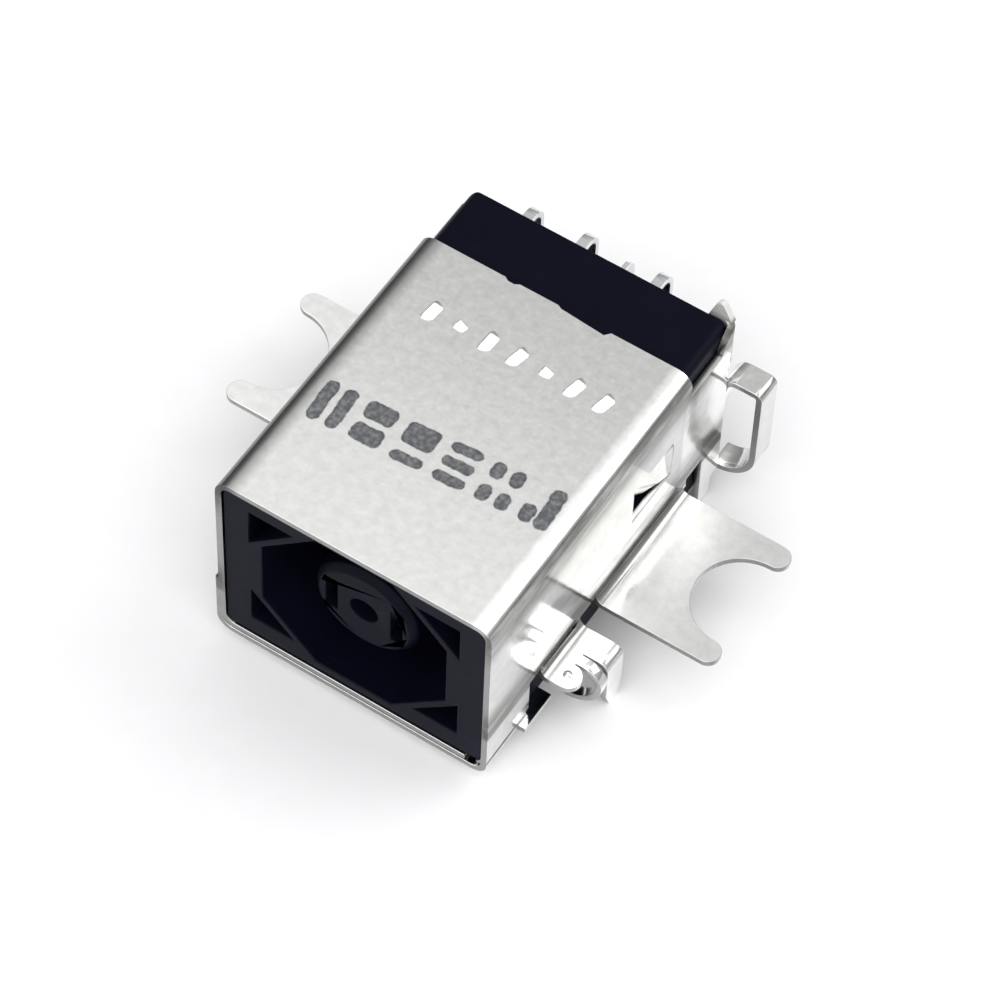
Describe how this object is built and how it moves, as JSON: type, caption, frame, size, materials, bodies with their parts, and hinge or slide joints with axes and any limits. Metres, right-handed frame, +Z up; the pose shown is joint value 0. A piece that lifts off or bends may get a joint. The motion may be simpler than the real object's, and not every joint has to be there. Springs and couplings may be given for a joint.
{
  "type": "dc barrel jack",
  "caption": "Shielded board-mount dc power jack with a round centre post in an eight-sided socket, notched side ears, solder legs and rear tails.",
  "frame": {"origin": "centre of the socket mouth, in the plane of the shield's front edge", "axes": "-Y points out of the socket mouth, +Z is up with the jack lying on its legs, and X runs across from ear to ear"},
  "size_m": [0.024, 0.02, 0.0116],
  "materials": {
    "plated_steel": "tin-plated sheet, satin on top and bright on the walls",
    "black_moulding": "semi-matt moulded",
    "tinned_contact": "tin-plated copper alloy strip"
  },
  "bodies": {
    "root": {"shield_shell": "plated_steel", "housing": "black_moulding", "outer_contact": "tinned_contact", "left_inner_contact": "tinned_contact", "right_inner_contact": "tinned_contact", "centre_contact": "tinned_contact"}
  },
  "joints": []
}
